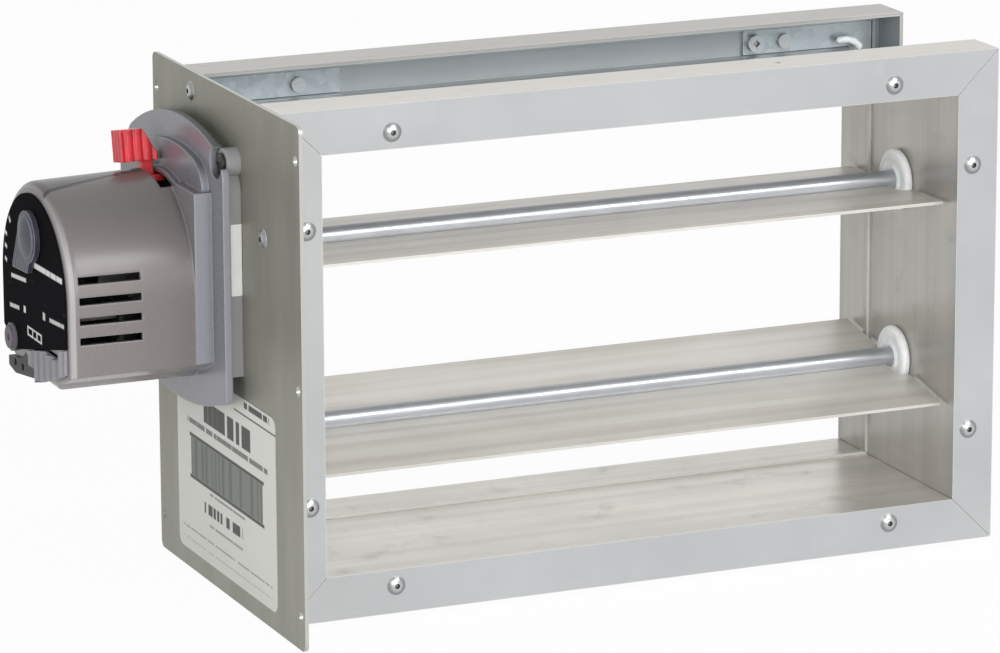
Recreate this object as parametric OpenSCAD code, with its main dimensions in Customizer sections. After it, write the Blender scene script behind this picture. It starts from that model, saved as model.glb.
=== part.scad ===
// Rectangular zone damper: a mitred aluminium channel frame with two opposed blades,
// a side plate that covers the slot in the duct, and a motor actuator on that plate.
// X runs across the duct from the plate's inner face, Y along the air, Z up.
// The blades stand open, as they would with the zone calling for air.

/* [Frame] */
// Width of the frame across the duct
frame_w = 304; // [220:1:500]
// Height of the frame
frame_h = 200; // [196:1:206]
// Depth of the frame along the air
frame_d = 102; // [100:1:120]
// Thickness of the channel walls
frame_t = 1.5; // [1.2:0.1:1.8]
// Height of the channel from its lips to the airway
channel_h = 17.5; // [17:0.1:18]
// Width of each lip over the channel's trough
lip_w = 20; // [14:0.5:24]
// Distance of the frame's middle behind the plate's middle
frame_y = -3; // [-6:0.5:0]
// Distance of the frame's middle above the plate's middle
frame_z = 1.5; // [0:0.5:2]

/* [Corner gussets and rivets] */
// Length of each gusset leg, from the frame's outer corner
gusset_leg = 64; // [56:1:80]
// Distance of the rivets from the frame's outer corner
rivet_reach = 46; // [40:1:50]
// Distance of the rivets from the frame's outer edge
rivet_edge = 11; // [10.5:0.1:11.5]
// Diameter of the rivet heads
rivet_head_d = 8; // [7:0.5:9]

/* [Side plate] */
// Depth of the plate along the air
plate_d = 159; // [150:1:180]
// Height of the plate
plate_h = 203; // [202:1:210]
// Thickness of the plate
plate_t = 1.5; // [1.2:0.1:1.5]
// Diameter of the duct screw holes
duct_hole_d = 4.2; // [3.5:0.1:5]
// Distance between the two rows of duct screw holes
duct_hole_dy = 151; // [146:0.5:153]
// Distance from the top to the bottom duct screw holes
duct_hole_dz = 176; // [160:1:184]

/* [Blades] */
// Half of the upper blade's chord
upper_half = 40.5; // [39.5:0.5:40.5]
// Half of the lower blade's chord
lower_half = 42.5; // [41:0.5:42.5]
// Thickness of the blade sheet
blade_t = 1.2; // [0.8:0.1:1.5]
// Distance from the shaft's centre down to the middle of the blade sheet
blade_drop = 2.4; // [2.3:0.1:2.6]
// Height of the upper shaft above the plate's middle
shaft_upper_z = 40.4; // [40:0.1:40.5]
// Distance of the shafts behind the plate's middle
shaft_y = -4.5; // [-5:0.1:-4]
// Diameter of the shafts
shaft_d = 8; // [7.8:0.1:8.2]
// Slope of the upper blade at rest, back edge up
upper_slope = -1.4; // [-2:0.1:0]
// Slope of the lower blade at rest, back edge up
lower_slope = 10.6; // [10:0.1:11]

/* [Gears] */
// Module of the two timing gears
timing_module = 1.47; // [1.47:0.01:1.49]
// Teeth that a whole upper timing gear would have
timing_upper_n = 47; // [47:1:47]
// Teeth that a whole lower timing gear would have
timing_lower_n = 53; // [53:1:53]
// Module of the actuator's gears
drive_module = 1.27; // [1.26:0.01:1.27]
// Teeth on the indicator gear, and on a whole output gear
drive_n = 30; // [30:1:30]
// Teeth on the motor pinion
pinion_n = 12; // [12:1:12]

/* [Actuator] */
// Width of the cover's flange
flange_w = 109; // [108:0.5:110]
// Half of the width of the housing where it meets the flange
body_r = 42; // [41.5:0.1:42.5]
// Half of the width of the housing at its outer end
nose_r = 40.5; // [40:0.1:41]
// Distance from the plate to the housing's end face
body_reach = 66; // [65:0.5:68]
// Wall thickness of the housing
cover_t = 2; // [1.8:0.1:2.2]
// Radius of the rounded edge round the end face
nose_round = 4; // [3.5:0.5:5]
// Number of vent slots on each side
vent_count = 4; // [3:1:4]
// Diameter of the position pointer
pointer_d = 20.4; // [18:0.1:24]
// Angle of the release lever from upright when it is let go
lever_rest = 11; // [8:1:12]
// Angle that the release lever can be pushed through
lever_travel = 30; // [20:1:30]

/* [Hidden] */
$fn = 64;
fine = 96;
eps = 0.01;
gap = 0.15;
fit = 0.05;

frame_top_z = frame_z + frame_h / 2;
frame_bottom_z = frame_z - frame_h / 2;
airway_left_x = channel_h;
airway_right_x = frame_w - channel_h;
rib_y = 25.5;
rib_w = 3;
rib_h = 1.2;
keeper_v = 4.6;
keeper_t = 1;
keeper_w = 2.2;
gusset_v = keeper_v + keeper_t + 0.3;
gusset_w = channel_h - frame_t - gusset_v - 0.3;
gusset_t = 1.5;
gusset_screw_reach = 59;
rivet_d = 4;
rivet_head_h = 1.5;
rivet_hole_d = rivet_d + 2 * fit;

timing_upper_r = timing_module * timing_upper_n / 2;
timing_lower_r = timing_module * timing_lower_n / 2;
shaft_lower_z = shaft_upper_z - timing_upper_r - timing_lower_r;
timing_x = airway_right_x + 6;
timing_t = 6;
shaft_end_x = frame_w - 2.5;
bush_flange_d = 25;
bush_flange_t = 3.6;
bush_barrel_d = 14;
bush_barrel = 4;
blade_gap = 1.6;
notch_deep = bush_flange_t + 1.5;
notch_half = bush_flange_d / 2 + 2;

drive_r = drive_module * drive_n / 2;
pinion_r = drive_module * pinion_n / 2;
axis_z = 42.5;
drive_tilt = asin((axis_z - shaft_upper_z) / (2 * drive_r));
axis_y = shaft_y + 2 * drive_r * cos(drive_tilt);
pinion_z = axis_z - drive_r - pinion_r;
plate_x = -plate_t;
base_t = 5.6;
base_wall = 1.6;
base_x = plate_x - base_t;
base_y0 = -18;
base_y1 = 79;
base_z0 = -8;
base_top_z = 80.5;
flange_t = 3;
flange_x = base_x - flange_t;
flange_y0 = -21;
flange_top_z = 86.8;
flange_foot_z = -17;
arch_y = 26;
arch_r = 118;
arch_corner = 13;
step_t = 3;
step_inset = 14.5;
step_top_z = 76.5;
shoulder_t = 7;
shoulder_x = flange_x - shoulder_t;
shoulder_top_z = 63;
body_z = 22.8;
body_side_z = -4;
body_sag = 10;
nose_x = plate_x - body_reach;
panel_r = 37.4;
panel_z = 21.5;
panel_side_z = 0;
panel_sag = 10;
foot_line_y = [-7, 43];
foot_line_z = [6.7, -4.5];
label_t = 0.8;
pointer_aim = -63;
pointer_tip_short = 12.8;
pointer_tip_long = 21.5;
pointer_front = 6.5;
pointer_rear = 9.3;
gear_x = plate_x - base_wall - 0.5;
gear_t = 3;
motor_half = 26;
lever_x0 = flange_x - step_t - 1.8;
lever_len = 15;
lever_w = 10;
lever_h = 12.5;
lever_rise = 2.4;
slot_x0 = shoulder_x + 1.5;
slot_w = 6;
slot_margin = 5;
board_x = nose_x + 22;
board_t = 1.6;
plug_y = axis_y + 27;
plug_z = -3.4;
plug_r = 4.2;
grommet_r = 5.6;
clamp_depth = 7.5;
screw_ears = [[-13.5, 75.5], [68, 64.5], [12, -2], [58, -2]];
ear_r = 5.5;
hook_places = [14, 48];
hook_t = 1.4;
plate_rivet_places = [[-41, 51], [36, 93.5]];
flush_rivet_places = [[-41, -51], [36, -51]];

alu = [0.78, 0.79, 0.79];
galv = [0.70, 0.73, 0.76];
nylon = [0.93, 0.93, 0.90];
plate_tan = [0.54, 0.53, 0.48];
housing_grey = [0.50, 0.47, 0.45];
flange_grey = [0.46, 0.46, 0.49];
ink_black = [0.06, 0.06, 0.07];

// Placing helpers

// Lays a flat outline drawn as (Y, Z) at x, with its thickness running towards -X.
module outward(x, thickness) {
    translate([x, 0, 0]) rotate([90, 0, 90]) mirror([0, 0, 1]) linear_extrude(thickness) children();
}

// Turns a shape that stands along +Z so that it points along -X.
module along_out(x, y, z) {
    translate([x, y, z]) rotate([0, -90, 0]) children();
}

// Turns a shape that stands along +Z so that it points along +X.
module along_in(x, y, z) {
    translate([x, y, z]) rotate([0, 90, 0]) children();
}

// Frame members

// Section of the channel: depth along the air, and distance in from the lips.
module channel_section() {
    half = frame_d / 2;
    translate([-half, -channel_h]) square([frame_d, frame_t]);
    translate([rib_y - rib_w / 2, -channel_h - rib_h]) square([rib_w, rib_h + eps]);
    for (side = [-1, 1]) scale([side, 1]) {
        translate([half - frame_t, -channel_h]) square([frame_t, channel_h]);
        translate([half - lip_w, -frame_t]) square([lip_w, frame_t]);
        translate([half - frame_t - keeper_w, -keeper_v - keeper_t]) square([keeper_w + eps, keeper_t]);
    }
}

// One member with mitred ends, its lips at z = 0 and its web below.
module member(len) {
    low = channel_h + rib_h + 1;
    reach = len / 2 - gap;
    intersection() {
        rotate([90, 0, 90]) linear_extrude(len, center = true) channel_section();
        rotate([90, 0, 0]) linear_extrude(frame_d + 2, center = true)
            polygon([[-reach, 0], [reach, 0], [reach - low, -low], [-reach + low, -low]]);
    }
}

// Rivet holes through both flanges of a member, near each end.
module flange_holes(len) {
    for (end = [-1, 1]) translate([end * (len / 2 - rivet_reach), 0, -rivet_edge])
        rotate([90, 0, 0]) cylinder(h = frame_d + 2, d = rivet_hole_d, center = true);
}

// Holes in a side member's web for the shaft bushings, given in frame places.
module bush_holes() {
    for (z = [shaft_upper_z, shaft_lower_z])
        translate([frame_w / 2, shaft_y, z]) rotate([0, 90, 0])
            cylinder(h = frame_w - 2 * channel_h + 8, d = bush_barrel_d + 2 * fit, center = true);
}

module frame_top() {
    color(alu) translate([frame_w / 2, frame_y, frame_top_z]) difference() {
        member(frame_w);
        flange_holes(frame_w);
        // Small dimpled hole in the front lip
        translate([60, -frame_d / 2 + lip_w / 2, -frame_t - 1]) cylinder(h = frame_t + 2, d = 2.5);
    }
}

module frame_bottom() {
    color(alu) translate([frame_w / 2, frame_y, frame_bottom_z]) mirror([0, 0, 1]) difference() {
        member(frame_w);
        flange_holes(frame_w);
    }
}

module frame_left() {
    color(alu) difference() {
        translate([0, frame_y, frame_z]) rotate([0, -90, 0]) difference() {
            member(frame_h);
            flange_holes(frame_h);
        }
        bush_holes();
        for (p = concat(plate_rivet_places, flush_rivet_places))
            along_in(-1, p[0], p[1]) cylinder(h = 5, d = rivet_hole_d);
    }
}

module frame_right() {
    color(alu) difference() {
        translate([frame_w, frame_y, frame_z]) rotate([0, 90, 0]) difference() {
            member(frame_h);
            flange_holes(frame_h);
        }
        bush_holes();
    }
}

// Corner gussets

// L-shaped strip for the top left corner seen from the front, its corner at the origin.
module gusset_outline() {
    difference() {
        translate([gusset_v, -gusset_leg]) square([gusset_leg - gusset_v, gusset_leg - gusset_v]);
        translate([gusset_v + gusset_w, -gusset_leg - 1])
            square([gusset_leg, gusset_leg + 1 - gusset_v - gusset_w]);
        translate([rivet_reach, -rivet_edge]) circle(d = rivet_hole_d);
        translate([rivet_edge, -rivet_reach]) circle(d = rivet_hole_d);
    }
}

// right and low are 0 or 1, back is 0 at the front flange and 1 at the back one.
module gusset(right, low, back, screw_hole = false) {
    inner_y = frame_y + (back ? 1 : -1) * (frame_d / 2 - frame_t);
    color(galv)
        translate([right ? frame_w : 0, inner_y + (back ? 0 : gusset_t), low ? frame_bottom_z : frame_top_z])
            mirror([right, 0, 0]) mirror([0, 0, low]) rotate([90, 0, 0]) linear_extrude(gusset_t)
                difference() {
                    gusset_outline();
                    if (screw_hole) translate([gusset_screw_reach, -rivet_edge]) circle(d = rivet_hole_d);
                }
}

module gusset_front_top_left() gusset(0, 0, 0);
module gusset_front_top_right() gusset(1, 0, 0);
module gusset_front_bottom_left() gusset(0, 1, 0);
module gusset_front_bottom_right() gusset(1, 1, 0);
module gusset_back_top_left() gusset(0, 0, 1);
module gusset_back_top_right() gusset(1, 0, 1, true);
module gusset_back_bottom_left() gusset(0, 1, 1);
module gusset_back_bottom_right() gusset(1, 1, 1);

// Blind rivet on the outside of a wall at z = 0, its shank through a grip of that thickness.
module blind_rivet(grip) {
    rotate_extrude($fn = 32) difference() {
        union() {
            intersection() {
                translate([0, rivet_head_h - rivet_head_d * 0.72]) circle(r = rivet_head_d * 0.72);
                square([rivet_head_d / 2, rivet_head_h]);
            }
            translate([0, -grip - 2]) square([rivet_d / 2, grip + 2 + eps]);
            translate([0, -grip - 2.2]) square([rivet_d / 2 + 0.9, 2.2]);
        }
        translate([0, 0.3]) square([1.1, 4]);
        translate([-9, -20]) square([9, 40]);
    }
}

// The eight rivet places on one face of the frame, as (X, Z).
function rivet_places() = [
    for (z_side = [0, 1], x_side = [0, 1], along = [0, 1]) [
        x_side ? frame_w - (along ? rivet_reach : rivet_edge) : (along ? rivet_reach : rivet_edge),
        z_side ? frame_bottom_z + (along ? rivet_edge : rivet_reach)
               : frame_top_z - (along ? rivet_edge : rivet_reach)
    ]
];

module rivets_front() {
    color(galv) for (p = rivet_places())
        translate([p[0], frame_y - frame_d / 2, p[1]]) rotate([90, 0, 0]) blind_rivet(frame_t + gusset_t);
}

module rivets_back() {
    color(galv) for (p = rivet_places())
        translate([p[0], frame_y + frame_d / 2, p[1]]) rotate([-90, 0, 0]) blind_rivet(frame_t + gusset_t);
}

// Screw that tightens the back top right gusset, its head inside the trough.
module gusset_screw() {
    seat_y = frame_y + frame_d / 2 - frame_t - gusset_t;
    color(galv) translate([frame_w - gusset_screw_reach, seat_y, frame_top_z - rivet_edge])
        rotate([90, 0, 0]) difference() {
            union() {
                cylinder(h = 2.4, d = 7);
                translate([0, 0, -gusset_t]) cylinder(h = gusset_t + eps, d = rivet_d);
            }
            translate([0, 0, 1.4]) cylinder(h = 2, d = 3.2, $fn = 4);
        }
}

// Side plate

module side_plate() {
    color(plate_tan) difference() {
        outward(0, plate_t) difference() {
            rounded_rect(plate_d, plate_h, 3);
            for (y = [-1, 1], z = [-1, 1])
                translate([y * duct_hole_dy / 2, z * duct_hole_dz / 2]) circle(d = duct_hole_d);
            translate([-duct_hole_dy / 2, 0]) circle(d = duct_hole_d);
            for (p = concat(plate_rivet_places, flush_rivet_places)) translate(p) circle(d = rivet_hole_d);
            translate([shaft_y, shaft_upper_z]) circle(d = shaft_d + 3);
            for (p = screw_ears) translate(p) circle(d = 4.1);
        }
        for (p = flush_rivet_places) along_out(plate_x + 1, p[0], p[1])
            cylinder(h = 1 + eps, r1 = rivet_hole_d / 2, r2 = rivet_hole_d / 2 + 1.2);
    }
}

module rounded_rect(w, h, r) {
    for (y = [-1, 1], z = [-1, 1]) translate([y * (w / 2 - r), z * (h / 2 - r)]) circle(r);
    square([w - 2 * r, h], center = true);
    square([w, h - 2 * r], center = true);
}

// Countersunk rivet flush with a wall at z = 0, for the places under the label.
module flush_rivet(grip) {
    rotate_extrude($fn = 32) {
        polygon([[0, -grip - 2.2], [rivet_d / 2 + 0.9, -grip - 2.2], [rivet_d / 2 + 0.9, -grip],
                 [rivet_d / 2, -grip], [rivet_d / 2, -1], [rivet_d / 2 + 1.1, 0], [0, 0]]);
    }
}

module plate_rivets() {
    color(galv) {
        for (p = plate_rivet_places) along_out(plate_x, p[0], p[1]) blind_rivet(plate_t + frame_t);
        for (p = flush_rivet_places) along_out(plate_x, p[0], p[1]) flush_rivet(plate_t + frame_t);
    }
}

// Blank label on the lower part of the plate.
module rating_label() {
    color("white") outward(plate_x, 0.3) translate([3, -55.5]) rounded_rect(108.5, 77, 4);
}

// Blades, shafts and bushings

// Section of a blade about its shaft: a flat sheet with a groove under the rod.
module blade_section(half) {
    wrap_r = shaft_d / 2 + fit;
    difference() {
        union() {
            translate([-half, -blade_drop - blade_t / 2]) square([2 * half, blade_t]);
            circle(wrap_r + blade_t, $fn = fine);
        }
        circle(wrap_r, $fn = fine);
        translate([-wrap_r - 3, -blade_drop + blade_t / 2]) square([2 * wrap_r + 6, 12]);
    }
}

// A blade about its shaft's axis, sloping by the angle, cut back round the bushings.
module blade(half, slope) {
    len = airway_right_x - airway_left_x - 2 * blade_gap;
    translate([airway_left_x + blade_gap, 0, 0]) rotate([slope, 0, 0]) difference() {
        rotate([90, 0, 90]) linear_extrude(len) blade_section(half);
        for (x = [-1, len - notch_deep])
            translate([x, -notch_half, -9]) cube([notch_deep + 1, 2 * notch_half, 18]);
    }
}

module blade_upper() {
    color(alu) translate([0, shaft_y, shaft_upper_z]) blade(upper_half, upper_slope);
}

module blade_lower() {
    color(alu) translate([0, shaft_y, shaft_lower_z]) blade(lower_half, lower_slope);
}

// Both shafts have a groove for each retaining clip.
module shaft(x0, x1, grooves) {
    difference() {
        translate([x0, 0, 0]) rotate([0, 90, 0]) cylinder(h = x1 - x0, d = shaft_d);
        for (x = grooves) translate([x, 0, 0]) rotate([0, 90, 0]) difference() {
            cylinder(h = 1.2, d = shaft_d + 2);
            translate([0, 0, -1]) cylinder(h = 4, d = shaft_d - 1.6);
        }
    }
}

clip_right_x = timing_x + timing_t + 0.4;
clip_left_x = airway_left_x - frame_t - bush_barrel - 1.8;

module shaft_upper() {
    color(galv) translate([0, shaft_y, shaft_upper_z])
        shaft(gear_x - gear_t - 0.3, shaft_end_x, [clip_right_x]);
}

module shaft_lower() {
    color(galv) translate([0, shaft_y, shaft_lower_z])
        shaft(clip_left_x - 2, shaft_end_x, [clip_left_x, clip_right_x]);
}

// Nylon bushing: a domed flange inside the airway and a barrel through the web, along +Z.
module bushing() {
    r = bush_flange_d / 2;
    rim = bush_flange_t / 2;
    rotate_extrude($fn = fine) difference() {
        union() {
            square([r - rim, bush_flange_t]);
            translate([r - rim, rim]) circle(rim);
            translate([0, -frame_t - bush_barrel]) square([bush_barrel_d / 2, frame_t + bush_barrel + 1]);
        }
        translate([-30, -30]) square([30 + shaft_d / 2 + fit, 60]);
        translate([shaft_d / 2 + 2.8, bush_flange_t + 1]) circle(2);
    }
}

module bushing_upper_left() color(nylon) along_in(airway_left_x, shaft_y, shaft_upper_z) bushing();
module bushing_lower_left() color(nylon) along_in(airway_left_x, shaft_y, shaft_lower_z) bushing();
module bushing_upper_right() color(nylon) along_out(airway_right_x, shaft_y, shaft_upper_z) bushing();
module bushing_lower_right() color(nylon) along_out(airway_right_x, shaft_y, shaft_lower_z) bushing();

// E-clip about the shaft's axis, its open side along -Z.
module e_clip() {
    rotate([90, 0, 90]) linear_extrude(1) difference() {
        circle(d = shaft_d + 4);
        circle(d = shaft_d - 1.5);
        translate([-2.6, -20]) square([5.2, 20]);
    }
}

module clip_upper() {
    color(galv) translate([clip_right_x + 0.1, shaft_y, shaft_upper_z]) e_clip();
}

module clips_lower() {
    color(galv) for (x = [clip_left_x, clip_right_x])
        translate([x + 0.1, shaft_y, shaft_lower_z]) e_clip();
}

// Gears

pressure = 20;
backlash = 0.12;

// Angle in degrees that the involute has turned through at radius r, from base radius b.
function inv_angle(r, b) = let (t = sqrt(max(0, pow(r / b, 2) - 1))) t * 180 / PI - atan(t);

// Half of a tooth's angle at radius r, for a gear of n teeth and module m.
function tooth_half(r, n, m) =
    let (p = m * n / 2, b = p * cos(pressure))
    (90 - backlash * 180 / (PI * m)) / n + inv_angle(p, b) - inv_angle(max(r, b), b);

function polar(r, a) = [r * cos(a), r * sin(a)];

// Outline of one tooth about angle 0, from the root to the tip and back.
function tooth(n, m, add, ded) =
    let (
        p = m * n / 2,
        root = p - ded * m,
        tip = p + add * m,
        steps = 5,
        start = max(root, p * cos(pressure)),
        up = [for (i = [0:steps]) let (r = start + (tip - start) * i / steps) [r, tooth_half(r, n, m)]]
    )
    concat(
        [polar(root - 0.6, -up[0][1] - 0.2), polar(root, -up[0][1])],
        [for (q = up) polar(q[0], -q[1])],
        [for (i = [steps:-1:0]) polar(up[i][0], up[i][1])],
        [polar(root, up[0][1]), polar(root - 0.6, up[0][1] + 0.2)]
    );

// Teeth numbered from first to last, tooth 0 about angle 0.
module teeth(n, m, first, last, add = 0.85, ded = 1.15) {
    for (i = [first:last]) rotate(i * 360 / n) polygon(tooth(n, m, add, ded));
}

// Slice of a disc of radius r between two angles less than 180 apart.
module pie(r, a0, a1) {
    far = 2 * r;
    intersection() {
        circle(r, $fn = fine);
        polygon([[0, 0], polar(far, a0), polar(far, (a0 + a1) / 2), polar(far, a1)]);
    }
}

// Sector gear with a hub, a rim and a window, from angle a0 to a1.
module sector(n, m, first, last, hub_r, window) {
    pitch = 360 / n;
    a0 = (first - 0.5) * pitch;
    a1 = (last + 0.5) * pitch;
    root = m * n / 2 - 1.15 * m;
    difference() {
        union() {
            pie(root, a0, a1);
            circle(hub_r);
            teeth(n, m, first, last);
        }
        if (window) difference() {
            pie(root - 5, a0 + 14, a1 - 14);
            circle(hub_r + 5);
        }
    }
}

// Timing gears in the right channel. The upper one has a tooth at the mesh point, the lower one a gap.
module timing_gear(n, first, last) {
    bore = shaft_d / 2 + fit;
    difference() {
        union() {
            linear_extrude(timing_t - 1.5) sector(n, timing_module, first, last, 10, true);
            cylinder(h = timing_t, d = 18);
        }
        translate([0, 0, -1]) cylinder(h = timing_t + 2, r = bore);
    }
}

module timing_gear_upper() {
    color(nylon) translate([timing_x, shaft_y, shaft_upper_z]) rotate([90, 0, 90]) rotate(-90)
        timing_gear(timing_upper_n, -1, 13);
}

module timing_gear_lower() {
    color(nylon) translate([timing_x, shaft_y, shaft_lower_z]) rotate([90, 0, 90])
        rotate(90 - 180 / timing_lower_n) timing_gear(timing_lower_n, -12, 2);
}

// Actuator

// Tombstone outline: round top, straight sides and a shallow curved foot.
module tombstone(r, centre_z, side_z, sag) {
    foot_r = (r * r + sag * sag) / (2 * sag);
    translate([axis_y, centre_z]) circle(r, $fn = fine);
    translate([axis_y - r, side_z]) square([2 * r, centre_z - side_z]);
    intersection() {
        translate([axis_y, side_z - sag + foot_r]) circle(foot_r, $fn = 160);
        translate([axis_y - r, side_z - sag - 1]) square([2 * r, sag + 1 + eps]);
    }
}

// Plate from y0 to y1 and up from z0, with a shallow arch on top and round upper corners.
module arched(y0, y1, z0, top_z, r, corner) {
    centre_z = top_z - r;
    front = arch_y - y0 - corner;
    rear = y1 - arch_y - corner;
    front_z = centre_z + sqrt(pow(r - corner, 2) - front * front);
    rear_z = centre_z + sqrt(pow(r - corner, 2) - rear * rear);
    intersection() {
        translate([arch_y, centre_z])
            pie(r, atan2(rear_z - centre_z, rear), atan2(front_z - centre_z, -front));
        translate([y0, z0]) square([y1 - y0, top_z - z0 + 1]);
    }
    translate([y0 + corner, front_z]) circle(corner);
    translate([y1 - corner, rear_z]) circle(corner);
    translate([y0, z0]) square([arch_y - y0 + eps, front_z - z0]);
    translate([arch_y, z0]) square([y1 - arch_y, rear_z - z0]);
}

// Curved foot below z0 for a plate from y0 to y1.
module foot(y0, y1, z0, sag) {
    half = (y1 - y0) / 2;
    foot_r = (half * half + sag * sag) / (2 * sag);
    intersection() {
        translate([y0 + half, z0 - sag + foot_r]) circle(foot_r, $fn = 160);
        translate([y0, z0 - sag - 1]) square([2 * half, sag + 1 + eps]);
    }
}

module base_outline(inset) {
    arched(base_y0 + inset, base_y1 - inset, base_z0 + inset, base_top_z - inset,
           arch_r - 6 - inset, arch_corner - inset);
}

// Shallow tray against the plate that carries the gears and the motor.
module mounting_base() {
    color(flange_grey) difference() {
        union() {
            difference() {
                union() {
                    outward(plate_x, base_t) base_outline(0);
                    along_out(plate_x, screw_ears[0][0], screw_ears[0][1]) cylinder(h = base_t, r = ear_r);
                }
                outward(plate_x - base_wall, base_t) difference() {
                    base_outline(base_wall);
                    translate(screw_ears[0]) circle(ear_r);
                }
            }
            for (y = [-1, 1]) along_out(plate_x - 1, axis_y + y * motor_half, pinion_z)
                cylinder(h = base_t + 2, d = 7);
            along_out(plate_x - 1, axis_y, axis_z) cylinder(h = 3.2, d = 4);
        }
        along_out(plate_x + 1, shaft_y, shaft_upper_z) cylinder(h = base_t, d = shaft_d + 2);
        for (p = screw_ears) along_out(plate_x + 1, p[0], p[1]) cylinder(h = base_t + 2, d = 4.1);
        for (y = [-1, 1]) along_out(plate_x - 2, axis_y + y * motor_half, pinion_z)
            cylinder(h = base_t + 4, d = 2.6);
    }
}

// Pan head screw along +Z with its head's seat at z = 0 and its shank below.
module pan_screw(head_d, head_h, shank_d, shank) {
    difference() {
        union() {
            rotate_extrude($fn = 32) intersection() {
                translate([0, head_h - head_d]) circle(head_d);
                square([head_d / 2, head_h]);
            }
            translate([0, 0, -shank]) cylinder(h = shank + eps, d = shank_d, $fn = 32);
        }
        for (a = [0, 90]) rotate(a) translate([-head_d * 0.3, -0.5, head_h - 1]) cube([head_d * 0.6, 1, 2]);
    }
}

// Screws through the base and the plate, the first one on the ear beside the cover.
module base_screws() {
    color(ink_black) for (i = [0:3]) {
        seat = i == 0 ? base_x : plate_x - base_wall;
        // Tips stay flush where the duct wall lies behind the plate
        tip = screw_ears[i][0] < frame_y + frame_d / 2 ? 2 : 0;
        along_out(seat, screw_ears[i][0], screw_ears[i][1]) pan_screw(7.6, 2.2, 3.9, tip - seat);
    }
}

// Half outline of the housing from its axis, as (distance out, half width), for a wall inset.
module body_profile(inset) {
    start = flange_x + flange_t;
    end = nose_x + inset;
    round_r = nose_round - min(inset, nose_round - 1);
    slope = (body_r - nose_r) / (flange_x - nose_x);
    side = nose_r - inset;
    polygon(concat(
        [[0, 0], [0, side + slope * (start - end)], [start - end - round_r, side + slope * round_r]],
        [for (i = [1:7]) let (a = i * 90 / 8)
            [start - end - round_r + round_r * sin(a), side + slope * round_r - round_r * (1 - cos(a))]],
        [[start - end, side + slope * round_r - round_r], [start - end, 0]]
    ));
}

// Side view of the housing below its centre line, as (X, Z), with a rounded lower corner.
module foot_profile(inset, low) {
    end = nose_x + inset;
    round_r = nose_round - min(inset, nose_round - 1);
    polygon(concat(
        [[flange_x + flange_t, body_z + 1], [flange_x + flange_t, low]],
        [for (i = [0:8]) let (a = i * 90 / 8)
            [end + round_r - round_r * sin(a), low + round_r - round_r * cos(a)]],
        [[end, body_z + 1]]
    ));
}

// The housing as one closed body, shrunk by the inset on every side but the base.
module body_solid(inset) {
    start = flange_x + flange_t;
    foot = body_side_z - body_sag;
    // Round top, turned about the housing's centre line
    intersection() {
        translate([start, axis_y, body_z]) rotate([0, -90, 0]) rotate_extrude($fn = fine)
            rotate(90) mirror([0, 1]) body_profile(inset);
        translate([nose_x - 1, axis_y - 60, body_z - eps]) cube([80, 120, 80]);
    }
    // Straight sides down to the curved foot, its lower edge rounded like the sides
    intersection() {
        translate([0, axis_y + body_r + 1, 0]) rotate([90, 0, 0]) linear_extrude(2 * body_r + 2)
            foot_profile(inset, foot + inset);
        translate([start, axis_y, foot - 1]) linear_extrude(body_z - foot + 1)
            for (side = [0, 1]) mirror([0, side]) mirror([1, 0]) body_profile(inset);
        outward(start + 1, body_reach + 2) tombstone(body_r - inset, body_z, body_side_z, body_sag - inset);
    }
}

// Arc slot in the round top for the release lever's stem.
module lever_slot() {
    along_out(slot_x0, axis_y, body_z) linear_extrude(slot_w) difference() {
        rotate(lever_rest - lever_travel - slot_margin)
            pie(body_r + 6, 0, lever_travel + 2 * slot_margin);
        circle(body_r - 8);
    }
    // Relief in the shoulders for the thumb piece
    along_out(flange_x - step_t, axis_y, body_z) linear_extrude(step_t + 4) difference() {
        rotate(lever_rest - lever_travel - 8) pie(body_r + lever_rise + lever_h + 2, 0, lever_travel + 16);
        circle(body_r + 0.3);
    }
}

module vent_slots() {
    for (i = [0:vent_count - 1]) translate([plate_x - 63, axis_y - 60, 31.3 - i * 7.8]) cube([26, 120, 3]);
}

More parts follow.
